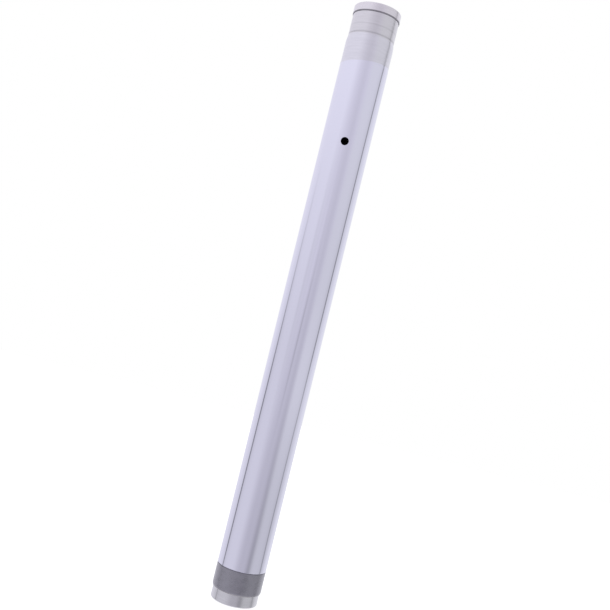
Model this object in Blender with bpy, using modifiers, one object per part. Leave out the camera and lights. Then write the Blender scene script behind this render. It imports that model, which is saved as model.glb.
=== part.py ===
"""Inner tube of a motorcycle front fork, with its slide bush, stopper ring and lower check valve.

Metres, +Z up the tube. The origin is the centre of the lower end face, and the side hole faces -Y.
"""

import math

import bmesh
import bpy

MM = 0.001

# Tube: driving dimensions
TUBE_LENGTH = 531.7 * MM
CHROME_R = 21.5 * MM
BORE_R = 17.75 * MM
ROUND_STEPS = 72

# Tube: lower end, with the bush seat on the outside and the valve bore on the inside
PILOT_R = 20.4 * MM
PILOT_CHAMFER = 0.7 * MM
BUSH_SEAT_R = 20.0 * MM
BUSH_SEAT_LOW, BUSH_SEAT_HIGH = 10.0 * MM, 30.1 * MM
CHROME_EDGE_CHAMFER = 0.4 * MM
VALVE_BORE_R = 18.6 * MM
VALVE_BORE_CHAMFER = 0.4 * MM
VALVE_GROOVE_R = 19.4 * MM
VALVE_GROOVE_LOW, VALVE_GROOVE_HIGH = 3.0 * MM, 4.6 * MM
LIP_R = 16.4 * MM
LIP_LOW, LIP_HIGH = 17.7 * MM, 21.0 * MM
LIP_CONE_HIGH = 24.0 * MM

# Tube: upper end, below and above the stopper ring
SHANK_R = 21.3 * MM
SHANK_LOW, SHANK_HIGH = 480.0 * MM, 499.5 * MM
SEAT_R = 20.6 * MM
SEAT_LOW = 505.0 * MM
RING_GROOVE_R = 20.2 * MM
RING_GROOVE_LOW, RING_GROOVE_HIGH = 523.6 * MM, 524.8 * MM
COLLAR_R = 21.15 * MM
COLLAR_CHAMFER = 0.7 * MM
CAP_COUNTERBORE_R = 18.75 * MM
CAP_COUNTERBORE_DEPTH = 5.5 * MM
CAP_CHAMFER = 0.45 * MM
THREAD_R = 18.1 * MM
THREAD_LENGTH = 15.0 * MM
THREAD_RELIEF_R = 18.7 * MM
THREAD_RELIEF = 2.4 * MM

# Side hole
HOLE_R = 3.5 * MM
HOLE_Z = 408.0 * MM
HOLE_STEPS = 32

# Stopper ring, slide bush and snap ring
STOPPER_WIRE_R = 0.4 * MM
STOPPER_OUTER_R = 21.2 * MM
STOPPER_GAP = 2.5 * MM
BUSH_GAP = 0.2 * MM
BUSH_SPLIT = 1.2 * MM
BUSH_UPPER_CHAMFER = 0.25 * MM
BUSH_LOWER_CHAMFER, BUSH_LEAD_IN = 0.5 * MM, 1.5 * MM
SNAP_WIRE_R = 0.6 * MM
SNAP_CENTRE_R = 18.5 * MM
SNAP_GAP = 6.0 * MM

# Lower valve, from the snap ring up to the lip
VALVE_CLEARANCE = 0.3 * MM
WASHER_INNER_R, WASHER_OUTER_R = 15.8 * MM, 18.3 * MM
WASHER_THICKNESS = 1.5 * MM
WASHER_LOW = (VALVE_GROOVE_LOW + VALVE_GROOVE_HIGH) / 2 + SNAP_WIRE_R + VALVE_CLEARANCE
SPRING_INNER_R, SPRING_OUTER_R = 16.3 * MM, 17.9 * MM
SPRING_STRIP = 0.5 * MM
SPRING_HEIGHT = 2.7 * MM
SPRING_LOW = WASHER_LOW + WASHER_THICKNESS + VALVE_CLEARANCE
SPRING_WAVES = 4
VALVE_INNER_R, VALVE_OUTER_R = 15.5 * MM, 18.2 * MM
VALVE_LOW = SPRING_LOW + SPRING_HEIGHT + VALVE_CLEARANCE
VALVE_HIGH = LIP_LOW - VALVE_CLEARANCE
VALVE_CHAMFER = 0.4 * MM
FLUTES = 6
FLUTE_R = 1.1 * MM
FLUTE_STEPS = 16

# How finely wires are rounded, and how near points are merged
WIRE_BEVEL_RESOLUTION = 2
MERGE_DISTANCE = 0.01 * MM


def clear_scene():
    for obj in list(bpy.data.objects):
        bpy.data.objects.remove(obj, do_unlink=True)


def new_collection(name, hidden):
    collection = bpy.data.collections.new(name)
    collection.hide_render = hidden
    bpy.context.scene.collection.children.link(collection)
    return collection


def material(name, colour, metallic, roughness):
    made = bpy.data.materials.new(name)
    made.use_nodes = True
    shader = made.node_tree.nodes["Principled BSDF"]
    shader.inputs["Base Color"].default_value = (*colour, 1.0)
    shader.inputs["Metallic"].default_value = metallic
    shader.inputs["Roughness"].default_value = roughness
    return made


def add_part(name, data, finish):
    data.materials.append(finish)
    obj = bpy.data.objects.new(name, data)
    parts.objects.link(obj)
    return obj


def add_cutter(name, data):
    obj = bpy.data.objects.new(name, data)
    obj.hide_render = True
    obj.display_type = "WIRE"
    cutters.objects.link(obj)
    return obj


def cut(obj, cutter):
    boolean = obj.modifiers.new("cut " + cutter.name, "BOOLEAN")
    boolean.operation = "DIFFERENCE"
    boolean.solver = "EXACT"
    boolean.object = cutter


def turned_mesh(name, profile):
    """The closed outline of a turned piece. Its points run down the outer side and back up inside."""
    mesh = bpy.data.meshes.new(name)
    count = len(profile)
    edges = [(i, (i + 1) % count) for i in range(count)]
    mesh.from_pydata([(r, 0.0, z) for r, z in profile], edges, [])
    return mesh


def add_screw(obj):
    screw = obj.modifiers.new("turn", "SCREW")
    screw.axis = "Z"
    screw.angle = 2 * math.pi
    screw.steps = ROUND_STEPS
    screw.render_steps = ROUND_STEPS
    screw.use_merge_vertices = True
    screw.merge_threshold = MERGE_DISTANCE
    screw.use_smooth_shade = True


def cylinder_mesh(name, radius, length, steps):
    mesh = bpy.data.meshes.new(name)
    bm = bmesh.new()
    bmesh.ops.create_cone(
        bm, cap_ends=True, segments=steps, radius1=radius, radius2=radius, depth=length
    )
    bm.to_mesh(mesh)
    bm.free()
    return mesh


def box_mesh(name, size):
    mesh = bpy.data.meshes.new(name)
    bm = bmesh.new()
    bmesh.ops.create_cube(bm, size=1.0)
    bmesh.ops.scale(bm, vec=size, verts=bm.verts)
    bm.to_mesh(mesh)
    bm.free()
    return mesh


def make_inner_tube():
    top = TUBE_LENGTH
    thread_high = top - CAP_COUNTERBORE_DEPTH
    thread_low = thread_high - THREAD_LENGTH
    relief_low = thread_low - THREAD_RELIEF
    outside = [
        (COLLAR_R - COLLAR_CHAMFER, top),
        (COLLAR_R, top - COLLAR_CHAMFER),
        (COLLAR_R, RING_GROOVE_HIGH),
        (RING_GROOVE_R, RING_GROOVE_HIGH),
        (RING_GROOVE_R, RING_GROOVE_LOW),
        (SEAT_R, RING_GROOVE_LOW),
        (SEAT_R, SEAT_LOW),
        (SHANK_R, SHANK_HIGH),
        (SHANK_R, SHANK_LOW),
        (CHROME_R, SHANK_LOW - (CHROME_R - SHANK_R)),
        (CHROME_R, BUSH_SEAT_HIGH + CHROME_EDGE_CHAMFER),
        (CHROME_R - CHROME_EDGE_CHAMFER, BUSH_SEAT_HIGH),
        (BUSH_SEAT_R, BUSH_SEAT_HIGH),
        (BUSH_SEAT_R, BUSH_SEAT_LOW),
        (PILOT_R, BUSH_SEAT_LOW),
        (PILOT_R, PILOT_CHAMFER),
        (PILOT_R - PILOT_CHAMFER, 0.0),
    ]
    inside = [
        (VALVE_BORE_R + VALVE_BORE_CHAMFER, 0.0),
        (VALVE_BORE_R, VALVE_BORE_CHAMFER),
        (VALVE_BORE_R, VALVE_GROOVE_LOW),
        (VALVE_GROOVE_R, VALVE_GROOVE_LOW),
        (VALVE_GROOVE_R, VALVE_GROOVE_HIGH),
        (VALVE_BORE_R, VALVE_GROOVE_HIGH),
        (VALVE_BORE_R, LIP_LOW),
        (LIP_R, LIP_LOW),
        (LIP_R, LIP_HIGH),
        (BORE_R, LIP_CONE_HIGH),
        (BORE_R, relief_low),
        (THREAD_RELIEF_R, relief_low + (THREAD_RELIEF_R - BORE_R)),
        (THREAD_RELIEF_R, thread_low),
        (THREAD_R, thread_low),
        (THREAD_R, thread_high),
        (CAP_COUNTERBORE_R, thread_high),
        (CAP_COUNTERBORE_R, top - CAP_CHAMFER),
        (CAP_COUNTERBORE_R + CAP_CHAMFER, top),
    ]
    tube = add_part("inner_tube", turned_mesh("inner_tube", outside + inside), chrome)
    add_screw(tube)
    wall = CHROME_R - BORE_R
    drill = add_cutter("side_hole_drill", cylinder_mesh("side_hole_drill", HOLE_R, 4 * wall, HOLE_STEPS))
    drill.location = (0.0, -(CHROME_R + BORE_R) / 2, HOLE_Z)
    drill.rotation_euler = (math.pi / 2, 0.0, 0.0)
    cut(tube, drill)


def make_wire_ring(name, centre_r, wire_r, gap, z, finish):
    """A split ring of round wire. Its gap faces +Y."""
    half_gap = math.asin(0.5 * gap / centre_r)
    curve = bpy.data.curves.new(name, "CURVE")
    curve.dimensions = "3D"
    curve.bevel_depth = wire_r
    curve.bevel_resolution = WIRE_BEVEL_RESOLUTION
    curve.use_fill_caps = True
    spline = curve.splines.new("POLY")
    spline.points.add(ROUND_STEPS)
    for i, point in enumerate(spline.points):
        turn = math.pi / 2 + half_gap + (2 * math.pi - 2 * half_gap) * i / ROUND_STEPS
        point.co = (centre_r * math.cos(turn), centre_r * math.sin(turn), z, 1.0)
    add_part(name, curve, finish)


def make_stopper_ring():
    middle = (RING_GROOVE_LOW + RING_GROOVE_HIGH) / 2
    centre_r = STOPPER_OUTER_R - STOPPER_WIRE_R
    make_wire_ring("stopper_ring", centre_r, STOPPER_WIRE_R, STOPPER_GAP, middle, dark_steel)


def make_slide_bush():
    low = BUSH_SEAT_LOW + BUSH_GAP
    high = BUSH_SEAT_HIGH - BUSH_GAP
    inner_r = BUSH_SEAT_R + BUSH_GAP
    profile = [
        (CHROME_R - BUSH_UPPER_CHAMFER, high),
        (CHROME_R, high - BUSH_UPPER_CHAMFER),
        (CHROME_R, low + BUSH_LEAD_IN),
        (CHROME_R - BUSH_LOWER_CHAMFER, low),
        (inner_r, low),
        (inner_r, high),
    ]
    bush = add_part("slide_bush", turned_mesh("slide_bush", profile), bush_face)
    add_screw(bush)
    height = 2 * (BUSH_SEAT_HIGH - BUSH_SEAT_LOW)
    saw = add_cutter("bush_saw", box_mesh("bush_saw", (BUSH_SPLIT, CHROME_R, height)))
    saw.location = (0.0, CHROME_R, (low + high) / 2)
    cut(bush, saw)


def make_snap_ring():
    middle = (VALVE_GROOVE_LOW + VALVE_GROOVE_HIGH) / 2
    make_wire_ring("valve_snap_ring", SNAP_CENTRE_R, SNAP_WIRE_R, SNAP_GAP, middle, spring_steel)


def make_backing_washer():
    low, high = WASHER_LOW, WASHER_LOW + WASHER_THICKNESS
    profile = [
        (WASHER_OUTER_R, high),
        (WASHER_OUTER_R, low),
        (WASHER_INNER_R, low),
        (WASHER_INNER_R, high),
    ]
    add_screw(add_part("backing_washer", turned_mesh("backing_washer", profile), plain_steel))


def make_wave_spring():
    """A flat annulus that rises and falls along its turn, thickened into a strip."""
    swing = (SPRING_HEIGHT - SPRING_STRIP) / 2
    middle = SPRING_LOW + SPRING_HEIGHT / 2
    mesh = bpy.data.meshes.new("wave_spring")
    bm = bmesh.new()
    ends = [bm.verts.new((r, 0.0, middle)) for r in (SPRING_INNER_R, SPRING_OUTER_R)]
    bm.edges.new(ends)
    bmesh.ops.spin(
        bm, geom=bm.verts[:] + bm.edges[:], axis=(0, 0, 1), angle=2 * math.pi,
        steps=ROUND_STEPS, use_merge=True,
    )
    for vert in bm.verts:
        vert.co.z += swing * math.sin(SPRING_WAVES * math.atan2(vert.co.y, vert.co.x))
    bmesh.ops.recalc_face_normals(bm, faces=bm.faces)
    bm.to_mesh(mesh)
    bm.free()
    spring = add_part("wave_spring", mesh, spring_steel)
    thicken = spring.modifiers.new("strip", "SOLIDIFY")
    thicken.thickness = SPRING_STRIP
    thicken.offset = 0.0


def make_check_valve_ring():
    """A ring with flutes down its outer side, which let oil past it when it leaves the lip."""
    low, high = VALVE_LOW, VALVE_HIGH
    profile = [
        (VALVE_OUTER_R - VALVE_CHAMFER, high),
        (VALVE_OUTER_R, high - VALVE_CHAMFER),
        (VALVE_OUTER_R, low + VALVE_CHAMFER),
        (VALVE_OUTER_R - VALVE_CHAMFER, low),
        (VALVE_INNER_R + VALVE_CHAMFER, low),
        (VALVE_INNER_R, low + VALVE_CHAMFER),
        (VALVE_INNER_R, high - VALVE_CHAMFER),
        (VALVE_INNER_R + VALVE_CHAMFER, high),
    ]
    ring = add_part("check_valve_ring", turned_mesh("check_valve_ring", profile), plain_steel)
    add_screw(ring)
    for i in range(FLUTES):
        turn = 2 * math.pi * (i + 0.5) / FLUTES
        name = f"flute_mill_{i + 1}"
        mill = add_cutter(name, cylinder_mesh(name, FLUTE_R, 2 * (high - low), FLUTE_STEPS))
        mill.location = (VALVE_OUTER_R * math.cos(turn), VALVE_OUTER_R * math.sin(turn), (low + high) / 2)
        cut(ring, mill)


clear_scene()
parts = new_collection("fork_inner_tube", hidden=False)
cutters = new_collection("cutters", hidden=True)
chrome = material("hard_chrome", (0.78, 0.78, 0.82), 1.0, 0.08)
dark_steel = material("phosphated_steel", (0.22, 0.21, 0.23), 0.9, 0.45)
bush_face = material("bush_face", (0.22, 0.22, 0.24), 0.2, 0.5)
spring_steel = material("spring_steel", (0.35, 0.34, 0.34), 1.0, 0.35)
plain_steel = material("plain_steel", (0.6, 0.6, 0.61), 1.0, 0.3)

make_inner_tube()
make_stopper_ring()
make_slide_bush()
make_snap_ring()
make_backing_washer()
make_wave_spring()
make_check_valve_ring()
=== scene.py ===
import math

import bmesh
import bpy
from mathutils import Matrix, Vector


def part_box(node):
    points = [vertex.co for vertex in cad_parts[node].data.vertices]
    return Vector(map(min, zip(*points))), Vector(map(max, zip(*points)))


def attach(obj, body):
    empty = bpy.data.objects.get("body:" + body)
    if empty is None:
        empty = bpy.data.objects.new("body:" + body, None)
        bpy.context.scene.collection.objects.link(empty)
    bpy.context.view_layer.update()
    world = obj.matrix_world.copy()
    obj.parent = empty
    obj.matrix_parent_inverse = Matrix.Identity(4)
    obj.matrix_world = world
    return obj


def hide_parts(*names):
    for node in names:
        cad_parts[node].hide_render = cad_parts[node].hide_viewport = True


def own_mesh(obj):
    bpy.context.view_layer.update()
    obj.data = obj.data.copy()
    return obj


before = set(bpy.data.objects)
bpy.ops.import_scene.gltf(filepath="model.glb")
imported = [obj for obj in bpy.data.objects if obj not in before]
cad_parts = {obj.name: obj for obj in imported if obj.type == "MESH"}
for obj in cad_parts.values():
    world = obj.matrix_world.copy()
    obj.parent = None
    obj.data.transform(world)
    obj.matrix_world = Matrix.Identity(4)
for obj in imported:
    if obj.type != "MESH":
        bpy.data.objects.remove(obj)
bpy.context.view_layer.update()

scene = bpy.context.scene


# --- Camera ---------------------------------------------------------------------------------
# The tube is seen square on from a little below its middle, a few degrees round from its air
# hole. The camera is rolled, so that the upright tube leans across the view.
MM = 0.001
VIEW_TURN = math.radians(3.3)
EYE_SIDE, EYE_DISTANCE, EYE_HEIGHT = -0.8 * MM, 778 * MM, 243 * MM
AIM_HEIGHT = 263.8 * MM
LEAN = math.radians(13.8)
LENS_MM, SENSOR_MM = 52.35, 36.0

camera = bpy.data.objects.new("camera", bpy.data.cameras.new("camera"))
camera.data.lens = LENS_MM
camera.data.sensor_width = SENSOR_MM
round_the_tube = Matrix.Rotation(VIEW_TURN, 3, "Z")
eye = round_the_tube @ Vector((EYE_SIDE, -EYE_DISTANCE, EYE_HEIGHT))
line_of_sight = round_the_tube @ Vector((EYE_SIDE, 0.0, AIM_HEIGHT)) - eye
level = line_of_sight.to_track_quat("-Z", "Y").to_matrix()
camera.matrix_world = Matrix.Translation(eye) @ (level @ Matrix.Rotation(LEAN, 3, "Z")).to_4x4()
scene.collection.objects.link(camera)
scene.camera = camera
scene.view_settings.view_transform = "Standard"


# --- Floor and light tent -------------------------------------------------------------------
# The tube stands on a white floor inside a round tent of white cloth, lit evenly from outside.
# Chrome shows the tent's walls, its darker opening in front and the seams where the walls meet.
# The tent's foot stands for the floor in the reflections. From below, the floor is clear.
FLOOR_SIZE, FLOOR_GREY, FLOOR_GLOW = 3.0, 0.62, 0.68

# Each wall's brightness, low down and high up, and its tint.
LEFT_WALL, OPENING = (0.75, 0.905), (0.57, 0.745)
RIGHT_WALL, BACK_WALL = (0.64, 0.77), (0.85, 0.885)
LEFT_TINT, OPENING_TINT, RIGHT_TINT = (1.0, 0.99, 1.075), (1.0, 0.98, 1.085), (1.0, 1.0, 1.06)

# Turns are in degrees round the tube from the opening's middle, and rises in degrees above level.
TENT_LOW, TENT_HIGH, LEFT_WALL_LOW = -13.0, 17.0, -1.0
LEFT_TO_OPENING, OPENING_TO_RIGHT, SIDE_TO_BACK = (-46.0, -4.0), (22.0, 48.0), (100.0, 138.0)
LAMP_RISE, LAMP_SPREAD, LAMP_LIGHT = -3.5, 4.5, 0.06
TENT_FOOT, TENT_FOOT_RISES = 0.78, (-24.0, -50.0)

# A fold, two pleats and a stand in the opening, each with its place, its width and its depth.
FOLD_TURNS, FOLD_WIDTH = (33.0, 10.0), 13.0
FOLD_RISES, FOLD_DEPTHS = (-17.0, -4.0), (0.2, 0.05)
DARK_PLEAT_TURN, DARK_PLEAT_WIDTH, DARK_PLEAT_DEPTH = -35.0, 6.0, 0.065
BRIGHT_PLEAT_TURN, BRIGHT_PLEAT_WIDTH, BRIGHT_PLEAT_DEPTH = -12.0, 5.0, 0.055
PLEAT_RISE, PLEAT_SPREAD = 4.0, 7.5
STAND_TURN, STAND_WIDTH, STAND_DEPTH = 1.0, 3.0, 0.15
STAND_RISE, STAND_SPREAD = -0.5, 4.5

# The seams. A ramp is its two rises, then the value at each.
SEAM_AT, SEAM_WIDTH, SEAM_DEPTH = 98.5, 3.5, 0.46
SEAM_SHADE, SEAM_SHADE_WIDTH, SEAM_SHADE_EDGE = 0.09, 16.0, 4.0
LEFT_SEAM_TOP, LEFT_SEAM_FOOT = (-4.0, 11.0, 1.1, 0.0), (-18.0, -14.0, 0.45, 1.0)
RIGHT_SEAM = (-5.0, -1.5, 0.62, 0.92)
LEFT_BEND_RISE, LEFT_BEND_SPREAD, LEFT_BEND = -2.0, 8.0, -2.0
RIGHT_BENDS_HIGH = ((12.0, 16.5, 0.0, 3.0), (16.5, 20.5, 0.0, 9.0))
RIGHT_BENDS_LOW = ((-9.0, -4.0, -1.8, 0.0), (-17.5, -12.0, 6.0, 0.0))


def add_node(tree, kind, inputs=None, **settings):
    """A node with its settings, and its inputs by name or number: a socket is linked, a value is set."""
    node = tree.nodes.new(kind)
    for key, value in settings.items():
        setattr(node, key, value)
    for key, value in (inputs or {}).items():
        if isinstance(value, bpy.types.NodeSocket):
            tree.links.new(value, node.inputs[key])
        else:
            node.inputs[key].default_value = value
    return node


def calc(tree, operation, a, b=0.0, c=0.0, clamp=False):
    settings = {"operation": operation, "use_clamp": clamp}
    return add_node(tree, "ShaderNodeMath", {0: a, 1: b, 2: c}, **settings).outputs[0]


def ramp(tree, value, start, end, low=0.0, high=1.0, smooth=True):
    """low at start, high at end, and held beyond both."""
    kind = "SMOOTHSTEP" if smooth else "LINEAR"
    inputs = {"Value": value, "From Min": start, "From Max": end, "To Min": low, "To Max": high}
    return add_node(tree, "ShaderNodeMapRange", inputs, interpolation_type=kind, clamp=True).outputs[0]


def hump(tree, value, centre, width):
    """A bell of height 1 round centre, which falls to a third at width."""
    off = calc(tree, "DIVIDE", calc(tree, "SUBTRACT", value, centre), width)
    square = calc(tree, "MULTIPLY", off, off)
    return calc(tree, "EXPONENT", calc(tree, "MULTIPLY", square, -1.0))


def mix_value(tree, factor, a, b):
    return add_node(tree, "ShaderNodeMix", {0: factor, 2: a, 3: b}, data_type="FLOAT").outputs[0]


def mix_colour(tree, factor, a, b):
    a = a if isinstance(a, bpy.types.NodeSocket) else (*a, 1.0)
    b = b if isinstance(b, bpy.types.NodeSocket) else (*b, 1.0)
    return add_node(tree, "ShaderNodeMix", {0: factor, 6: a, 7: b}, data_type="RGBA").outputs[2]


def ray_angles(tree):
    """The turn and the rise of a ray."""
    direction = add_node(tree, "ShaderNodeTexCoord").outputs["Generated"]
    x, y, z = add_node(tree, "ShaderNodeSeparateXYZ", {0: direction}).outputs
    turn = calc(tree, "ARCTAN2", x, calc(tree, "MULTIPLY", y, -1.0))
    turn = calc(tree, "DEGREES", calc(tree, "SUBTRACT", turn, VIEW_TURN))
    return turn, calc(tree, "DEGREES", calc(tree, "ARCSINE", z))


def tent_walls(tree, turn, rise):
    """The brightness and the tint of the walls and the opening."""
    height = ramp(tree, rise, TENT_LOW, TENT_HIGH, smooth=False)
    left = mix_value(tree, ramp(tree, rise, LEFT_WALL_LOW, TENT_HIGH, smooth=False), *LEFT_WALL)
    lamp = calc(tree, "MULTIPLY", hump(tree, rise, LAMP_RISE, LAMP_SPREAD), LAMP_LIGHT)
    right = calc(tree, "ADD", mix_value(tree, height, *RIGHT_WALL), lamp)
    past_left = ramp(tree, turn, *LEFT_TO_OPENING)
    past_opening = ramp(tree, turn, *OPENING_TO_RIGHT)
    past_side = ramp(tree, calc(tree, "ABSOLUTE", turn), *SIDE_TO_BACK)
    light = mix_value(tree, past_left, left, mix_value(tree, height, *OPENING))
    light = mix_value(tree, past_opening, light, right)
    light = mix_value(tree, past_side, light, mix_value(tree, height, *BACK_WALL))
    tint = mix_colour(tree, past_left, LEFT_TINT, OPENING_TINT)
    return light, mix_colour(tree, past_opening, tint, RIGHT_TINT)


def fold_shadow(tree, turn, rise):
    height = ramp(tree, rise, TENT_LOW, TENT_HIGH, smooth=False)
    fold = hump(tree, turn, mix_value(tree, height, *FOLD_TURNS), FOLD_WIDTH)
    return calc(tree, "MULTIPLY", fold, ramp(tree, rise, *FOLD_RISES, *FOLD_DEPTHS, smooth=False))


def pleat_shadow(tree, turn, rise):
    dark = calc(tree, "MULTIPLY", hump(tree, turn, DARK_PLEAT_TURN, DARK_PLEAT_WIDTH), DARK_PLEAT_DEPTH)
    bright = hump(tree, turn, BRIGHT_PLEAT_TURN, BRIGHT_PLEAT_WIDTH)
    pleats = calc(tree, "SUBTRACT", dark, calc(tree, "MULTIPLY", bright, BRIGHT_PLEAT_DEPTH))
    return calc(tree, "MULTIPLY", pleats, hump(tree, rise, PLEAT_RISE, PLEAT_SPREAD))


def stand_shadow(tree, turn, rise):
    stand = calc(tree, "MULTIPLY", hump(tree, turn, STAND_TURN, STAND_WIDTH),
                 hump(tree, rise, STAND_RISE, STAND_SPREAD))
    return calc(tree, "MULTIPLY", stand, STAND_DEPTH)


def seam_shadow(tree, turn, rise):
    """A dark line down each seam with a soft shade in front of it. The cloth bends each line a little."""
    left_seam = calc(tree, "MULTIPLY", ramp(tree, rise, *LEFT_SEAM_TOP, smooth=False),
                     ramp(tree, rise, *LEFT_SEAM_FOOT))
    left_bend = calc(tree, "MULTIPLY", hump(tree, rise, LEFT_BEND_RISE, LEFT_BEND_SPREAD), LEFT_BEND)
    right_bend = 0.0
    for bend in RIGHT_BENDS_HIGH:
        right_bend = calc(tree, "ADD", right_bend, ramp(tree, rise, *bend, smooth=False))
    for bend in RIGHT_BENDS_LOW:
        right_bend = calc(tree, "ADD", right_bend, ramp(tree, rise, *bend))
    on_right = calc(tree, "GREATER_THAN", turn, 0.0)
    seam = mix_value(tree, on_right, left_seam, ramp(tree, rise, *RIGHT_SEAM))
    side = calc(tree, "ABSOLUTE", turn)
    side = calc(tree, "SUBTRACT", side, mix_value(tree, on_right, left_bend, right_bend))
    line = calc(tree, "MULTIPLY", hump(tree, side, SEAM_AT, SEAM_WIDTH), SEAM_DEPTH)
    in_front = ramp(tree, side, SEAM_AT - SEAM_SHADE_EDGE, SEAM_AT + SEAM_SHADE_EDGE, SEAM_SHADE, 0.0)
    shade = calc(tree, "MULTIPLY", hump(tree, side, SEAM_AT, SEAM_SHADE_WIDTH), in_front)
    return calc(tree, "MULTIPLY", calc(tree, "ADD", line, shade), seam)


def tent_light(tree):
    """The brightness and the tint of the tent in the direction of a ray."""
    turn, rise = ray_angles(tree)
    light, tint = tent_walls(tree, turn, rise)
    for shadow in (fold_shadow, pleat_shadow, stand_shadow, seam_shadow):
        light = calc(tree, "SUBTRACT", light, shadow(tree, turn, rise))
    light = mix_value(tree, ramp(tree, rise, *TENT_FOOT_RISES), light, TENT_FOOT)
    return light, tint


def make_tent():
    world = bpy.data.worlds.new("light tent")
    scene.world = world
    world.use_nodes = True
    tree = world.node_tree
    tree.nodes.clear()
    light, tint = tent_light(tree)
    tent = add_node(tree, "ShaderNodeBackground", {"Color": tint, "Strength": light})
    white = add_node(tree, "ShaderNodeBackground", {"Color": (1.0, 1.0, 1.0, 1.0), "Strength": 1.0})
    seen = add_node(tree, "ShaderNodeLightPath").outputs["Is Camera Ray"]
    both = add_node(tree, "ShaderNodeMixShader", {0: seen, 1: tent.outputs[0], 2: white.outputs[0]})
    add_node(tree, "ShaderNodeOutputWorld", {"Surface": both.outputs[0]})


def make_floor():
    """White cloth that glows a little, so that it stays white close round the tube's foot."""
    mesh = bpy.data.meshes.new("floor")
    bm = bmesh.new()
    bmesh.ops.create_grid(bm, x_segments=1, y_segments=1, size=FLOOR_SIZE / 2)
    bm.to_mesh(mesh)
    bm.free()
    cloth = bpy.data.materials.new("floor cloth")
    cloth.use_nodes = True
    shader = cloth.node_tree.nodes["Principled BSDF"]
    shader.inputs["Base Color"].default_value = (FLOOR_GREY, FLOOR_GREY, FLOOR_GREY, 1.0)
    shader.inputs["Roughness"].default_value = 1.0
    shader.inputs["Specular IOR Level"].default_value = 0.0
    shader.inputs["Emission Color"].default_value = (1.0, 1.0, 1.0, 1.0)
    shader.inputs["Emission Strength"].default_value = FLOOR_GLOW
    tree = cloth.node_tree
    clear = add_node(tree, "ShaderNodeBsdfTransparent")
    below = add_node(tree, "ShaderNodeNewGeometry").outputs["Backfacing"]
    both = add_node(tree, "ShaderNodeMixShader", {0: below, 1: shader.outputs[0], 2: clear.outputs[0]})
    tree.links.new(both.outputs[0], tree.nodes["Material Output"].inputs["Surface"])
    mesh.materials.append(cloth)
    floor = bpy.data.objects.new("floor", mesh)
    floor.visible_glossy = False
    scene.collection.objects.link(floor)


make_tent()
make_floor()


# --- Inner tube -----------------------------------------------------------------------------
# Cold-drawn steel tube, turned at both ends, ground, hard-chromed between the seats and then
# polished. The bore is phosphated. Inside the upper end a right-hand thread takes the fork cap,
# and one hole is drilled through the wall and deburred.
_, tube_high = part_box("inner_tube")
bush_low, bush_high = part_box("slide_bush")
stopper_low, stopper_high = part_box("stopper_ring")
TUBE_TOP = tube_high.z
CHROME_R = tube_high.x
BORE_R = 17.75 * MM
AROUND = 320

END_CHAMFER = 0.7 * MM
CHROME_CHAMFER = 0.4 * MM
PILOT_R = 20.4 * MM
BUSH_SEAT_R = 20.0 * MM
BUSH_PLAY = 0.2 * MM
SHANK_R, SHANK_LOW, SHANK_HIGH = 21.3 * MM, 480.0 * MM, 499.5 * MM
SEAT_R, SEAT_LOW = 20.6 * MM, 505.0 * MM
UNDERCUT_DEPTH, UNDERCUT_LENGTH = 0.06 * MM, 0.3 * MM
RING_GROOVE_R, RING_PLAY = 20.2 * MM, 0.1 * MM
COLLAR_R = 21.15 * MM

VALVE_BORE_R, VALVE_GROOVE_R, VALVE_BORE_CHAMFER = 18.6 * MM, 19.4 * MM, 0.4 * MM
VALVE_GROOVE_LOW, VALVE_GROOVE_HIGH = 3.0 * MM, 4.6 * MM
LIP_R, LIP_LOW, LIP_HIGH, LIP_CONE_HIGH = 16.4 * MM, 17.7 * MM, 21.0 * MM, 24.0 * MM

CAP_BORE_R, CAP_BORE_DEPTH, CAP_BORE_CHAMFER = 18.75 * MM, 5.5 * MM, 0.45 * MM
THREAD_PITCH, THREAD_DEPTH, THREAD_LENGTH = 1.5 * MM, 0.75 * MM, 15.0 * MM
THREAD_ROWS = 12
THREAD_CREST, THREAD_ROOT = 0.07, 0.4
RELIEF_R, RELIEF_LENGTH = 18.7 * MM, 2.4 * MM
THREAD_TOP = TUBE_TOP - CAP_BORE_DEPTH
THREAD_FOOT = THREAD_TOP - THREAD_LENGTH

HOLE_Z, HOLE_R = 408.0 * MM, 3.5 * MM
HOLE_EDGE = 0.2 * MM
DRILL_IN, DRILL_OUT = -14.0 * MM, -26.0 * MM
DEBURR_IN, DEBURR_OUT = 1.0 * MM, 2.0 * MM

CHROME = ((0.79, 0.785, 0.895), 0.07)
SHANK_STEEL = ((0.745, 0.735, 0.79), 0.17)
SEAT_STEEL = ((0.71, 0.695, 0.725), 0.2)
COLLAR_STEEL = ((0.78, 0.75, 0.785), 0.2)
PILOT_STEEL = ((0.685, 0.68, 0.705), 0.16)
TURNED_BORE = ((0.60, 0.59, 0.60), 0.3)
DRAWN_BORE = ((0.07, 0.068, 0.07), 0.5)
BORE_FINISH_R, OUTER_FINISH_R = BORE_R + 1.4 * MM, BORE_R + 1.6 * MM
CLAMP_LINE = 512.8 * MM
POLISH_SKEW = 0.1


def eased(corners, steps=4, hold=0.12 * MM):
    """A closed outline of (radius, height) from corners of (radius, height, easing).

    Each eased corner becomes a short arc. A point held beside it keeps the next face flat.
    """
    points = []
    for i, (r, z, easing) in enumerate(corners):
        corner = Vector((r, z))
        if not easing:
            points.append(corner)
            continue
        before = Vector(corners[i - 1][:2]) - corner
        after = Vector(corners[(i + 1) % len(corners)][:2]) - corner
        start = corner + before.normalized() * easing
        end = corner + after.normalized() * easing
        if before.length > 3 * (easing + hold):
            points.append(start + before.normalized() * hold)
        for step in range(steps + 1):
            t = step / steps
            points.append(start * (1 - t) ** 2 + corner * 2 * t * (1 - t) + end * t**2)
        if after.length > 3 * (easing + hold):
            points.append(end + after.normalized() * hold)
    return points


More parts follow.
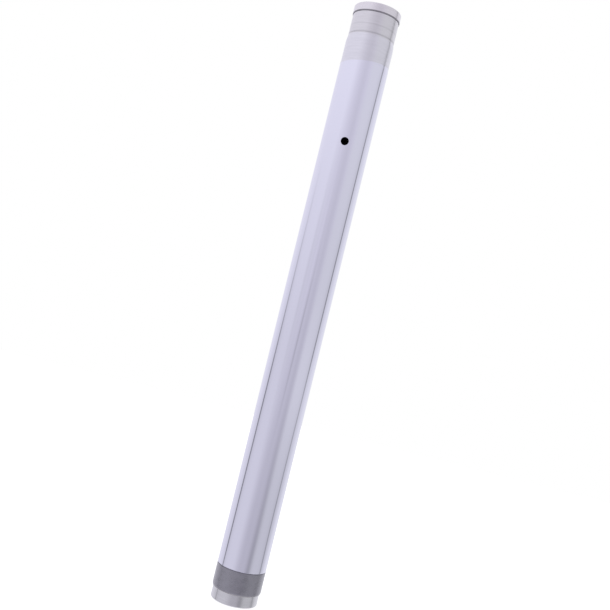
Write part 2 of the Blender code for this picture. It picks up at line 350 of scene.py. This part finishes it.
def add_group(name, inputs):
    """An empty Geometry Nodes tree with a geometry in and out, and its other inputs by name."""
    tree = bpy.data.node_groups.new(name, "GeometryNodeTree")
    tree.interface.new_socket("Geometry", in_out="INPUT", socket_type="NodeSocketGeometry")
    for label, kind in inputs:
        tree.interface.new_socket(label, in_out="INPUT", socket_type="NodeSocket" + kind)
    tree.interface.new_socket("Geometry", in_out="OUTPUT", socket_type="NodeSocketGeometry")
    return tree, tree.nodes.new("NodeGroupInput").outputs, tree.nodes.new("NodeGroupOutput").inputs[0]


def off_axis(tree, x, y):
    """The distance from the tube's axis."""
    square = calc(tree, "ADD", calc(tree, "MULTIPLY", x, x), calc(tree, "MULTIPLY", y, y))
    return calc(tree, "SQRT", square)


def turning_tree():
    """Turns an outline round Z, closed or with a gap at +Y, and cuts a thread in its inner side."""
    wanted = (("Around", "Int"), ("Middle Radius", "Float"), ("Gap", "Float"), ("Thread Foot", "Float"),
              ("Thread Top", "Float"), ("Thread Pitch", "Float"), ("Thread Depth", "Float"),
              ("Thread Within", "Float"), ("Material", "Material"))
    tree, given, result = add_group("turning", wanted)
    outline = add_node(tree, "GeometryNodeInputPosition").outputs[0]
    r, _, z = add_node(tree, "ShaderNodeSeparateXYZ", {0: outline}).outputs
    laid = add_node(tree, "ShaderNodeCombineXYZ", {
        "X": calc(tree, "SUBTRACT", r, given["Middle Radius"]),
        "Y": calc(tree, "MULTIPLY", z, -1.0)}).outputs[0]
    flat = add_node(tree, "GeometryNodeSetPosition", {"Geometry": given["Geometry"], "Position": laid})
    profile = add_node(tree, "GeometryNodeMeshToCurve", {0: flat.outputs[0]})
    circle = add_node(tree, "GeometryNodeCurvePrimitiveCircle", {
        "Resolution": given["Around"], "Radius": given["Middle Radius"]})
    arc = add_node(tree, "GeometryNodeCurveArc", {
        "Resolution": given["Around"], "Radius": given["Middle Radius"],
        "Start Angle": calc(tree, "MULTIPLY_ADD", given["Gap"], 0.5, c=math.pi / 2),
        "Sweep Angle": calc(tree, "SUBTRACT", 2 * math.pi, given["Gap"])})
    split = calc(tree, "GREATER_THAN", given["Gap"], 0.0)
    path = add_node(tree, "GeometryNodeSwitch", {
        "Switch": split, "False": circle.outputs[0], "True": arc.outputs[0]}, input_type="GEOMETRY")
    solid = add_node(tree, "GeometryNodeCurveToMesh", {
        "Curve": path.outputs[0], "Profile Curve": profile.outputs[0], "Fill Caps": True})

    place = add_node(tree, "GeometryNodeInputPosition").outputs[0]
    x, y, height = add_node(tree, "ShaderNodeSeparateXYZ", {0: place}).outputs
    radius = off_axis(tree, x, y)
    turns = calc(tree, "DIVIDE", calc(tree, "ARCTAN2", y, x), 2 * math.pi)
    phase = calc(tree, "SUBTRACT", calc(tree, "DIVIDE", height, given["Thread Pitch"]), turns)
    flank = calc(tree, "PINGPONG", phase, 0.5)
    cut = ramp(tree, flank, THREAD_CREST, THREAD_ROOT, smooth=False)
    above_foot = calc(tree, "SUBTRACT", height, given["Thread Foot"])
    below_top = calc(tree, "SUBTRACT", given["Thread Top"], height)
    run_in = calc(tree, "DIVIDE", above_foot, given["Thread Pitch"], clamp=True)
    run_out = calc(tree, "DIVIDE", below_top, given["Thread Pitch"], clamp=True)
    inner = calc(tree, "LESS_THAN", radius, given["Thread Within"])
    depth = calc(tree, "MULTIPLY", calc(tree, "MULTIPLY", cut, given["Thread Depth"]), inner)
    depth = calc(tree, "MULTIPLY", depth, calc(tree, "MULTIPLY", run_in, run_out))
    sideways = add_node(tree, "ShaderNodeCombineXYZ", {"X": x, "Y": y}).outputs[0]
    outward = add_node(tree, "ShaderNodeVectorMath", {0: sideways}, operation="NORMALIZE").outputs[0]
    push = add_node(tree, "ShaderNodeVectorMath", {0: outward, "Scale": depth}, operation="SCALE")
    threaded = add_node(tree, "GeometryNodeSetPosition", {
        "Geometry": solid.outputs[0], "Offset": push.outputs[0]})
    smooth = add_node(tree, "GeometryNodeSetShadeSmooth", {"Geometry": threaded.outputs[0]})
    real = add_node(tree, "GeometryNodeRealizeInstances", {0: smooth.outputs[0]})
    done = add_node(tree, "GeometryNodeSetMaterial", {
        "Geometry": real.outputs[0], "Material": given["Material"]})
    tree.links.new(done.outputs[0], result)
    return tree


def set_input(modifier, label, value):
    socket = next(item for item in modifier.node_group.interface.items_tree if item.name == label)
    modifier[socket.identifier] = value


def applied(obj):
    """The object's modifiers made real, in a plain mesh."""
    bpy.context.view_layer.update()
    evaluated = obj.evaluated_get(bpy.context.evaluated_depsgraph_get())
    mesh = bpy.data.meshes.new_from_object(evaluated)
    obj.modifiers.clear()
    old, obj.data = obj.data, mesh
    bpy.data.meshes.remove(old)
    mesh.name = obj.name


def crisp(obj, angle=34):
    """Smooth shading, with the edges that turn by more than the angle left sharp."""
    obj.data.shade_smooth()
    obj.data.set_sharp_from_angle(angle=math.radians(angle))


def turned(name, points, material, around=AROUND, gap=0.0, thread=None):
    """A piece turned from a closed outline. gap, in metres at its middle radius, splits it at +Y."""
    mesh = bpy.data.meshes.new(name)
    edges = [(i, (i + 1) % len(points)) for i in range(len(points))]
    mesh.from_pydata([(p.x, 0.0, p.y) for p in points], edges, [])
    obj = bpy.data.objects.new(name, mesh)
    scene.collection.objects.link(obj)
    modifier = obj.modifiers.new("turning", "NODES")
    modifier.node_group = TURNING
    foot, top, within = thread or (0.0, 0.0, 0.0)
    middle_radius = sum(p.x for p in points) / len(points)
    settings = {
        "Around": around, "Middle Radius": middle_radius, "Gap": gap / middle_radius,
        "Thread Foot": foot, "Thread Top": top, "Thread Within": within,
        "Thread Pitch": THREAD_PITCH, "Thread Depth": THREAD_DEPTH, "Material": material}
    for label, value in settings.items():
        set_input(modifier, label, value)
    applied(obj)
    crisp(obj)
    return obj


def new_finish(name, roughness, metallic=1.0):
    made = bpy.data.materials.new(name)
    made.use_nodes = True
    tree = made.node_tree
    shader = tree.nodes["Principled BSDF"]
    shader.inputs["Metallic"].default_value = metallic
    shader.inputs["Roughness"].default_value = roughness
    return made, tree, shader


def object_place(tree):
    """The Object coordinates, with their height and their distance from the tube's axis."""
    place = add_node(tree, "ShaderNodeTexCoord").outputs["Object"]
    x, y, height = add_node(tree, "ShaderNodeSeparateXYZ", {0: place}).outputs
    return place, height, off_axis(tree, x, y)


def lathe_marks(tree, place, height, radius, across, around=3.0, detail=2.0):
    """Marks that run round the axis on every face. across is how many there are to a metre."""
    x, y, _ = add_node(tree, "ShaderNodeSeparateXYZ", {0: place}).outputs
    turn_x = calc(tree, "MULTIPLY", calc(tree, "DIVIDE", x, radius), around)
    turn_y = calc(tree, "MULTIPLY", calc(tree, "DIVIDE", y, radius), around)
    packed = add_node(tree, "ShaderNodeCombineXYZ", {
        0: calc(tree, "MULTIPLY", radius, across), 1: calc(tree, "MULTIPLY", height, across), 2: turn_x})
    return add_node(tree, "ShaderNodeTexNoise", {
        "Vector": packed.outputs[0], "W": turn_y, "Scale": 1.0, "Detail": detail},
        noise_dimensions="4D").outputs["Fac"]


def tinted(tree, colour, shade):
    """The colour times a brightness."""
    grey = add_node(tree, "ShaderNodeCombineColor", {0: shade, 1: shade, 2: shade}).outputs[0]
    return add_node(tree, "ShaderNodeMix", {0: 1.0, 6: colour, 7: grey},
                    data_type="RGBA", blend_type="MULTIPLY").outputs[2]


def bump(tree, height, strength, distance):
    return add_node(tree, "ShaderNodeBump", {
        "Height": height, "Strength": strength, "Distance": distance}).outputs["Normal"]


def tube_finish():
    """Chrome from the bush to the shank, bare turned steel at the ends, and a dark drawn bore between."""
    made, tree, shader = new_finish("chromed tube", CHROME[1])
    place, height, radius = object_place(tree)
    across = add_node(tree, "ShaderNodeSeparateXYZ", {0: place}).outputs[0]
    polish_edge = calc(tree, "SUBTRACT", height, calc(tree, "MULTIPLY", across, POLISH_SKEW))
    zones = (
        (PILOT_STEEL, ramp(tree, height, bush_high.z, bush_high.z + 0.3 * MM, 1.0, 0.0)),
        (SHANK_STEEL, ramp(tree, polish_edge, SHANK_LOW - 0.6 * MM, SHANK_LOW + 0.6 * MM)),
        (SEAT_STEEL, ramp(tree, height, SEAT_LOW - 2.0 * MM, SEAT_LOW)),
        (COLLAR_STEEL, ramp(tree, height, stopper_low.z, stopper_high.z)))
    colour, roughness, bare = CHROME[0], CHROME[1], 0.0
    for (zone_colour, zone_roughness), inside in zones:
        colour = mix_colour(tree, inside, colour, zone_colour)
        roughness = mix_value(tree, inside, roughness, zone_roughness)
        bare = calc(tree, "MAXIMUM", bare, inside)
    in_bore = ramp(tree, radius, BORE_FINISH_R, OUTER_FINISH_R, 1.0, 0.0)
    relief_low = THREAD_FOOT - RELIEF_LENGTH
    drawn = calc(tree, "MULTIPLY", ramp(tree, height, LIP_CONE_HIGH - 1.0 * MM, LIP_CONE_HIGH),
                 ramp(tree, height, relief_low - 0.5 * MM, relief_low, 1.0, 0.0))
    colour = mix_colour(tree, in_bore, colour, mix_colour(tree, drawn, TURNED_BORE[0], DRAWN_BORE[0]))
    roughness = mix_value(tree, in_bore, roughness, mix_value(tree, drawn, TURNED_BORE[1], DRAWN_BORE[1]))
    bare = calc(tree, "MAXIMUM", bare, in_bore)

    # Painted shade: a dark band just above the taper, where the seat's foot turns in and would fall in
    # shade. The clamp line is a faint mark round the seat.
    painted_corner_shade = calc(tree, "MULTIPLY", hump(tree, height, SEAT_LOW + 0.4 * MM, 0.9 * MM), 0.17)
    clamp_line = calc(tree, "MULTIPLY", hump(tree, height, CLAMP_LINE, 0.6 * MM), 0.1)
    painted_shade_and_clamp_line = calc(tree, "ADD", painted_corner_shade, clamp_line)
    cloud = add_node(tree, "ShaderNodeTexNoise", {
        "Vector": place, "Scale": 90.0, "Detail": 3.0}).outputs["Fac"]
    fine = lathe_marks(tree, place, height, radius, 5200.0)
    coarse = lathe_marks(tree, place, height, radius, 900.0, around=1.5, detail=3.0)
    shade = mix_value(tree, bare, 1.0, ramp(tree, coarse, 0.3, 0.7, 0.975, 1.02))
    shade = calc(tree, "MULTIPLY", shade, calc(tree, "SUBTRACT", 1.0, painted_shade_and_clamp_line))
    roughness = calc(tree, "ADD", roughness, ramp(tree, cloud, 0.3, 0.7, -0.012, 0.012))
    marks = calc(tree, "MULTIPLY", calc(tree, "ADD", fine, calc(tree, "MULTIPLY", coarse, 0.3)),
                 mix_value(tree, bare, 0.02, 1.0))
    tree.links.new(tinted(tree, colour, shade), shader.inputs["Base Color"])
    tree.links.new(roughness, shader.inputs["Roughness"])
    tree.links.new(bump(tree, marks, 0.5, 0.02 * MM), shader.inputs["Normal"])
    return made


def hole_cutter(name, radius_in, radius_out, y_in, y_out, segments=96):
    """A round cutter that stands out of the tube's front at the air hole's height."""
    mesh = bpy.data.meshes.new(name)
    bm = bmesh.new()
    bmesh.ops.create_cone(
        bm, cap_ends=True, segments=segments, radius1=radius_in, radius2=radius_out, depth=y_in - y_out)
    turn = Matrix.Rotation(math.pi / 2, 4, "X")
    place = Matrix.Translation((0.0, (y_in + y_out) / 2, HOLE_Z))
    bmesh.ops.transform(bm, matrix=place @ turn, verts=bm.verts)
    bm.to_mesh(mesh)
    bm.free()
    obj = bpy.data.objects.new(name, mesh)
    scene.collection.objects.link(obj)
    return obj


def cut_away(obj, *cutters):
    for cutter in cutters:
        boolean = obj.modifiers.new("cut", "BOOLEAN")
        boolean.operation = "DIFFERENCE"
        boolean.solver = "EXACT"
        boolean.object = cutter
    applied(obj)
    for cutter in cutters:
        bpy.data.objects.remove(cutter)


def tube_corners():
    """The tube's outline: down the outside, then up the inside. The last value eases the corner."""
    step = CHROME_R - SHANK_R
    groove_low, groove_high = stopper_low.z - RING_PLAY, stopper_high.z + RING_PLAY
    seat_low, seat_high = bush_low.z - BUSH_PLAY, bush_high.z + BUSH_PLAY
    undercut_high = SEAT_LOW + UNDERCUT_LENGTH
    outside = [
        (COLLAR_R - END_CHAMFER, TUBE_TOP, 0.3 * MM), (COLLAR_R, TUBE_TOP - END_CHAMFER, 0.35 * MM),
        (COLLAR_R, groove_high, 0.1 * MM), (RING_GROOVE_R, groove_high, 0.15 * MM),
        (RING_GROOVE_R, groove_low, 0.15 * MM), (SEAT_R, groove_low, 0.1 * MM),
        (SEAT_R, undercut_high + 0.1 * MM, 0.08 * MM), (SEAT_R - UNDERCUT_DEPTH, undercut_high, 0),
        (SEAT_R - UNDERCUT_DEPTH, SEAT_LOW, 0), (SHANK_R, SHANK_HIGH, 0.3 * MM),
        (SHANK_R, SHANK_LOW, 0.05 * MM), (CHROME_R, SHANK_LOW - step, 0.08 * MM),
        (CHROME_R, HOLE_Z + 2 * HOLE_R, 0), (CHROME_R, HOLE_Z - 2 * HOLE_R, 0),
        (CHROME_R, seat_high + CHROME_CHAMFER, 0.1 * MM), (CHROME_R - CHROME_CHAMFER, seat_high, 0.1 * MM),
        (BUSH_SEAT_R, seat_high, 0), (BUSH_SEAT_R, seat_low, 0),
        (PILOT_R, seat_low, 0.1 * MM), (PILOT_R, END_CHAMFER, 0.3 * MM),
        (PILOT_R - END_CHAMFER, 0.0, 0.25 * MM)]
    rows = round(THREAD_ROWS * THREAD_LENGTH / THREAD_PITCH)
    thread = [(BORE_R, THREAD_FOOT + THREAD_LENGTH * i / rows, 0) for i in range(rows + 1)]
    inside = [
        (VALVE_BORE_R + VALVE_BORE_CHAMFER, 0.0, 0.1 * MM), (VALVE_BORE_R, VALVE_BORE_CHAMFER, 0.1 * MM),
        (VALVE_BORE_R, VALVE_GROOVE_LOW, 0), (VALVE_GROOVE_R, VALVE_GROOVE_LOW, 0),
        (VALVE_GROOVE_R, VALVE_GROOVE_HIGH, 0), (VALVE_BORE_R, VALVE_GROOVE_HIGH, 0),
        (VALVE_BORE_R, LIP_LOW, 0), (LIP_R, LIP_LOW, 0.2 * MM), (LIP_R, LIP_HIGH, 0.3 * MM),
        (BORE_R, LIP_CONE_HIGH, 0.5 * MM), (BORE_R, THREAD_FOOT - RELIEF_LENGTH, 0.2 * MM),
        (RELIEF_R, THREAD_FOOT - RELIEF_LENGTH + (RELIEF_R - BORE_R), 0.2 * MM),
        (RELIEF_R, THREAD_FOOT, 0)]
    mouth = [
        (CAP_BORE_R, THREAD_TOP, 0), (CAP_BORE_R, TUBE_TOP - CAP_BORE_CHAMFER, 0.1 * MM),
        (CAP_BORE_R + CAP_BORE_CHAMFER, TUBE_TOP, 0.1 * MM)]
    return outside + inside + thread + mouth


TURNING = turning_tree()
tube = turned("chromed_inner_tube", eased(tube_corners()), tube_finish(),
              thread=(THREAD_FOOT, THREAD_TOP, BORE_R + 0.3 * MM))
cut_away(
    tube,
    hole_cutter("drill", HOLE_R, HOLE_R, DRILL_IN, DRILL_OUT),
    hole_cutter("deburrer", HOLE_R - DEBURR_IN, HOLE_R + DEBURR_OUT,
                HOLE_EDGE + DEBURR_IN - CHROME_R, HOLE_EDGE - DEBURR_OUT - CHROME_R))
crisp(tube)
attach(tube, "tube")
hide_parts("inner_tube")


# --- Stopper ring ---------------------------------------------------------------------------
# Spring wire of round section, coiled to one open turn and phosphated dark grey. It snaps into
# the groove below the collar. Its crest is rubbed a little brighter where the yoke passes over it.
STOPPER_WIRE_R = (stopper_high.z - stopper_low.z) / 2
STOPPER_R = stopper_high.x - STOPPER_WIRE_R
STOPPER_GAP = 2.5 * MM
WIRE_SIDES = 24
PHOSPHATE = (0.34, 0.33, 0.36)
RUBBED = (0.46, 0.45, 0.47)


def wire_section(centre_r, wire_r, z):
    """The round outline of a wire, from its outer side down and round."""
    turns = [2 * math.pi * i / WIRE_SIDES for i in range(WIRE_SIDES)]
    return [Vector((centre_r + wire_r * math.cos(t), z - wire_r * math.sin(t))) for t in turns]


def soften_ends(obj, width):
    """Rounds the sheared ends of a split ring."""
    bevel = obj.modifiers.new("ends", "BEVEL")
    bevel.width = width
    bevel.segments = 3
    bevel.limit_method = "ANGLE"
    bevel.angle_limit = math.radians(60)
    applied(obj)
    crisp(obj)


def steel_finish(name, colour, roughness, across=4200.0, mark_depth=0.5, mottle=0.06):
    """Bare or blacked steel with lathe or drawing marks round the axis, mottled by oil."""
    made, tree, shader = new_finish(name, roughness)
    place, height, radius = object_place(tree)
    cloud = add_node(tree, "ShaderNodeTexNoise", {
        "Vector": place, "Scale": 260.0, "Detail": 4.0}).outputs["Fac"]
    fine = lathe_marks(tree, place, height, radius, across)
    shade = calc(tree, "MULTIPLY", ramp(tree, cloud, 0.3, 0.7, 1.0 - mottle, 1.0 + mottle),
                 ramp(tree, fine, 0.3, 0.7, 1.0 - 0.5 * mottle, 1.0 + 0.5 * mottle))
    rough = calc(tree, "ADD", roughness, ramp(tree, cloud, 0.3, 0.7, -0.05, 0.06))
    tree.links.new(tinted(tree, (*colour, 1.0), shade), shader.inputs["Base Color"])
    tree.links.new(rough, shader.inputs["Roughness"])
    tree.links.new(bump(tree, fine, mark_depth, 0.02 * MM), shader.inputs["Normal"])
    return made, tree, shader, height, radius


def rub(tree, shader, where, colour):
    """Mixes a rubbed colour into a finish, where it is worn."""
    under = shader.inputs["Base Color"].links[0].from_socket
    tree.links.new(mix_colour(tree, where, under, colour), shader.inputs["Base Color"])


def stopper_finish():
    made, tree, shader, _, radius = steel_finish("phosphated wire", PHOSPHATE, 0.42, mottle=0.1)
    crest = STOPPER_R + STOPPER_WIRE_R
    rub(tree, shader, ramp(tree, radius, crest - 0.12 * MM, crest, 0.0, 0.6), RUBBED)
    return made


stopper_wire = wire_section(STOPPER_R, STOPPER_WIRE_R, (stopper_low.z + stopper_high.z) / 2)
stopper = turned("stopper_spring_ring", stopper_wire, stopper_finish(), around=200, gap=STOPPER_GAP)
soften_ends(stopper, 0.15 * MM)
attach(stopper, "stopper")
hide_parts("stopper_ring")


# --- Slide bush -----------------------------------------------------------------------------
# Steel strip with a dull grey low-friction facing, rolled to a sleeve whose ends nearly meet at
# the back. It sits loose in its seat, flush with the chrome, with a long lead-in at its lower edge.
BUSH_R = bush_high.x
BUSH_INNER_R = BUSH_SEAT_R + BUSH_PLAY
BUSH_SPLIT = 1.2 * MM
BUSH_TOP_CHAMFER = 0.3 * MM
LEAD_LENGTH, LEAD_DEPTH = 1.5 * MM, 0.5 * MM
FACING_THICKNESS = 0.35 * MM
FACING = (0.272, 0.266, 0.302)
BUSH_BACK = (0.48, 0.46, 0.44)


def bush_finish():
    made, tree, shader, height, radius = steel_finish(
        "bush facing", FACING, 0.3, across=2600.0, mark_depth=0.6, mottle=0.04)
    shader.inputs["Metallic"].default_value = 0.85
    shader.inputs["Coat Weight"].default_value = 0.8
    shader.inputs["Coat Roughness"].default_value = 0.3
    under = shader.inputs["Base Color"].links[0].from_socket
    # Painted shade: the facing is darkened in a band along its top edge, where the gap to the chrome
    # shoulder falls in shade.
    painted_edge_shade = calc(tree, "MULTIPLY", hump(tree, height, bush_high.z - 0.1 * MM, 0.45 * MM), 0.14)
    edge_unshaded = calc(tree, "SUBTRACT", 1.0, painted_edge_shade)
    tree.links.new(tinted(tree, under, edge_unshaded), shader.inputs["Base Color"])
    facing_foot = BUSH_R - FACING_THICKNESS
    rub(tree, shader, ramp(tree, radius, facing_foot - 0.05 * MM, facing_foot, 0.8, 0.0), BUSH_BACK)
    return made


bush_corners = [
    (BUSH_R - BUSH_TOP_CHAMFER, bush_high.z, 0.1 * MM),
    (BUSH_R, bush_high.z - BUSH_TOP_CHAMFER, 0.12 * MM),
    (BUSH_R, bush_low.z + LEAD_LENGTH, 0.5 * MM), (BUSH_R - LEAD_DEPTH, bush_low.z, 0.12 * MM),
    (BUSH_INNER_R, bush_low.z, 0.1 * MM), (BUSH_INNER_R, bush_high.z, 0.1 * MM)]
bush = turned("split_slide_bush", eased(bush_corners), bush_finish(), gap=BUSH_SPLIT)
soften_ends(bush, 0.1 * MM)
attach(bush, "bush")
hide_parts("slide_bush")


# --- Check valve ring -----------------------------------------------------------------------
# Turned steel ring with six flutes milled down its outer side. It lies against the lip inside the
# lower bore; when oil pushes it down off the lip, the oil passes through the flutes.
valve_low, valve_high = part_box("check_valve_ring")
VALVE_R = valve_high.x
VALVE_BORE = 15.5 * MM
VALVE_CHAMFER, VALVE_EDGE = 0.4 * MM, 0.1 * MM
FLUTES, FLUTE_R = 6, 1.1 * MM
TURNED_STEEL = (0.60, 0.59, 0.605)


def milling_tree():
    """Cuts round flutes into a turned ring, along Z, spaced evenly round it."""
    wanted = (("Flutes", "Int"), ("Flute Radius", "Float"), ("Ring Radius", "Float"),
              ("Middle Height", "Float"), ("Cut Length", "Float"), ("Material", "Material"))
    tree, given, result = add_group("milling", wanted)
    mill = add_node(tree, "GeometryNodeMeshCylinder", {
        "Vertices": 40, "Radius": given["Flute Radius"], "Depth": given["Cut Length"]})
    spots = add_node(tree, "GeometryNodeMeshCircle", {
        "Vertices": given["Flutes"], "Radius": given["Ring Radius"]})
    half_step = calc(tree, "DIVIDE", math.pi, given["Flutes"])
    placed = add_node(tree, "GeometryNodeTransform", {
        "Geometry": spots.outputs[0],
        "Translation": add_node(tree, "ShaderNodeCombineXYZ", {"Z": given["Middle Height"]}).outputs[0],
        "Rotation": add_node(tree, "ShaderNodeCombineXYZ", {"Z": half_step}).outputs[0]})
    mills = add_node(tree, "GeometryNodeInstanceOnPoints", {
        "Points": placed.outputs[0], "Instance": mill.outputs[0]})
    real = add_node(tree, "GeometryNodeRealizeInstances", {0: mills.outputs[0]})
    cut = add_node(tree, "GeometryNodeMeshBoolean", {
        "Mesh 1": given["Geometry"], "Mesh 2": real.outputs[0]}, operation="DIFFERENCE", solver="EXACT")
    done = add_node(tree, "GeometryNodeSetMaterial", {
        "Geometry": cut.outputs[0], "Material": given["Material"]})
    tree.links.new(done.outputs[0], result)
    return tree


def grown(obj, tree, settings):
    """Runs a Geometry Nodes tree on the object and makes the result real."""
    modifier = obj.modifiers.new(tree.name, "NODES")
    modifier.node_group = tree
    for label, value in settings.items():
        set_input(modifier, label, value)
    applied(obj)
    crisp(obj)


valve_steel = steel_finish("turned valve steel", TURNED_STEEL, 0.24)[0]
valve_corners = [
    (VALVE_R - VALVE_CHAMFER, valve_high.z, VALVE_EDGE), (VALVE_R, valve_high.z - VALVE_CHAMFER, VALVE_EDGE),
    (VALVE_R, valve_low.z + VALVE_CHAMFER, VALVE_EDGE), (VALVE_R - VALVE_CHAMFER, valve_low.z, VALVE_EDGE),
    (VALVE_BORE + VALVE_CHAMFER, valve_low.z, VALVE_EDGE),
    (VALVE_BORE, valve_low.z + VALVE_CHAMFER, VALVE_EDGE),
    (VALVE_BORE, valve_high.z - VALVE_CHAMFER, VALVE_EDGE),
    (VALVE_BORE + VALVE_CHAMFER, valve_high.z, VALVE_EDGE)]
valve = turned("fluted_valve_ring", eased(valve_corners), valve_steel, around=180)
grown(valve, milling_tree(), {
    "Flutes": FLUTES, "Flute Radius": FLUTE_R, "Ring Radius": VALVE_R,
    "Middle Height": (valve_low.z + valve_high.z) / 2, "Cut Length": 2 * (valve_high.z - valve_low.z),
    "Material": valve_steel})
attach(valve, "valve")
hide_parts("check_valve_ring")


# --- Wave spring ----------------------------------------------------------------------------
# Flat spring-steel strip, pressed into four waves and tempered straw-brown. It stands on the
# washer and pushes the valve ring up. Its crests are rubbed bright by the pieces above and below.
spring_low, spring_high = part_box("wave_spring")
SPRING_R, SPRING_INNER_R = spring_high.x, 16.3 * MM
SPRING_STRIP, SPRING_EDGE = 0.5 * MM, 0.12 * MM
SPRING_WAVES = 4
SPRING_SWING = (spring_high.z - spring_low.z - SPRING_STRIP) / 2
TEMPERED = (0.30, 0.265, 0.225)


def waving_tree():
    """Lifts a flat ring into waves, and keeps how near each point is to a crest."""
    wanted = (("Waves", "Int"), ("Swing", "Float"), ("Material", "Material"))
    tree, given, result = add_group("waving", wanted)
    place = add_node(tree, "GeometryNodeInputPosition").outputs[0]
    x, y, _ = add_node(tree, "ShaderNodeSeparateXYZ", {0: place}).outputs
    wave = calc(tree, "SINE", calc(tree, "MULTIPLY", calc(tree, "ARCTAN2", y, x), given["Waves"]))
    crest = add_node(tree, "GeometryNodeStoreNamedAttribute", {
        "Geometry": given["Geometry"], "Name": "crest", "Value": calc(tree, "ABSOLUTE", wave)},
        data_type="FLOAT", domain="POINT")
    lift = add_node(tree, "ShaderNodeCombineXYZ", {"Z": calc(tree, "MULTIPLY", wave, given["Swing"])})
    waved = add_node(tree, "GeometryNodeSetPosition", {
        "Geometry": crest.outputs[0], "Offset": lift.outputs[0]})
    done = add_node(tree, "GeometryNodeSetMaterial", {
        "Geometry": waved.outputs[0], "Material": given["Material"]})
    tree.links.new(done.outputs[0], result)
    return tree


def spring_finish():
    made, tree, shader, _, _ = steel_finish("tempered strip", TEMPERED, 0.3)
    crest = add_node(tree, "ShaderNodeAttribute", attribute_name="crest").outputs["Fac"]
    rub(tree, shader, ramp(tree, crest, 0.93, 1.0, 0.0, 0.7), TURNED_STEEL)
    return made


spring_middle = (spring_low.z + spring_high.z) / 2
spring_top, spring_foot = spring_middle + SPRING_STRIP / 2, spring_middle - SPRING_STRIP / 2
spring_corners = [
    (SPRING_R, spring_top, SPRING_EDGE), (SPRING_R, spring_foot, SPRING_EDGE),
    (SPRING_INNER_R, spring_foot, SPRING_EDGE), (SPRING_INNER_R, spring_top, SPRING_EDGE)]
tempered = spring_finish()
spring = turned("pressed_wave_spring", eased(spring_corners), tempered, around=240)
grown(spring, waving_tree(), {"Waves": SPRING_WAVES, "Swing": SPRING_SWING, "Material": tempered})
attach(spring, "tube")
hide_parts("wave_spring")
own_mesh(spring)


# --- Backing washer -------------------------------------------------------------------------
# Stamped flat steel washer, tumbled until its edges are round. The wave spring stands on it, and
# the snap ring holds it up.
washer_low, washer_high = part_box("backing_washer")
WASHER_BORE = 15.8 * MM
TUMBLED_EDGE, SHEARED_EDGE = 0.25 * MM, 0.12 * MM
TUMBLED_STEEL = (0.50, 0.49, 0.50)
washer_corners = [
    (washer_high.x, washer_high.z, TUMBLED_EDGE), (washer_high.x, washer_low.z, SHEARED_EDGE),
    (WASHER_BORE, washer_low.z, SHEARED_EDGE), (WASHER_BORE, washer_high.z, TUMBLED_EDGE)]
washer_steel = steel_finish(
    "tumbled washer steel", TUMBLED_STEEL, 0.36, across=1500.0, mark_depth=0.2)[0]
washer = turned("stamped_backing_washer", eased(washer_corners), washer_steel, around=180)
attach(washer, "tube")
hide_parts("backing_washer")


# --- Valve snap ring ------------------------------------------------------------------------
# Bright oil-tempered spring wire, one open turn with a wide gap for the pliers. It springs out
# into the groove just inside the lower end and holds the washer, spring and valve ring in.
snap_low, snap_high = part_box("valve_snap_ring")
SNAP_WIRE_R = (snap_high.z - snap_low.z) / 2
SNAP_R = 18.5 * MM
SNAP_GAP = 6.0 * MM
OIL_TEMPERED = (0.34, 0.32, 0.31)

snap_steel = steel_finish("oil-tempered wire", OIL_TEMPERED, 0.27)[0]
snap_wire = wire_section(SNAP_R, SNAP_WIRE_R, (snap_low.z + snap_high.z) / 2)
snap_ring = turned("valve_snap_wire", snap_wire, snap_steel, around=180, gap=SNAP_GAP)
soften_ends(snap_ring, 0.12 * MM)
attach(snap_ring, "snap_ring")
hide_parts("valve_snap_ring")
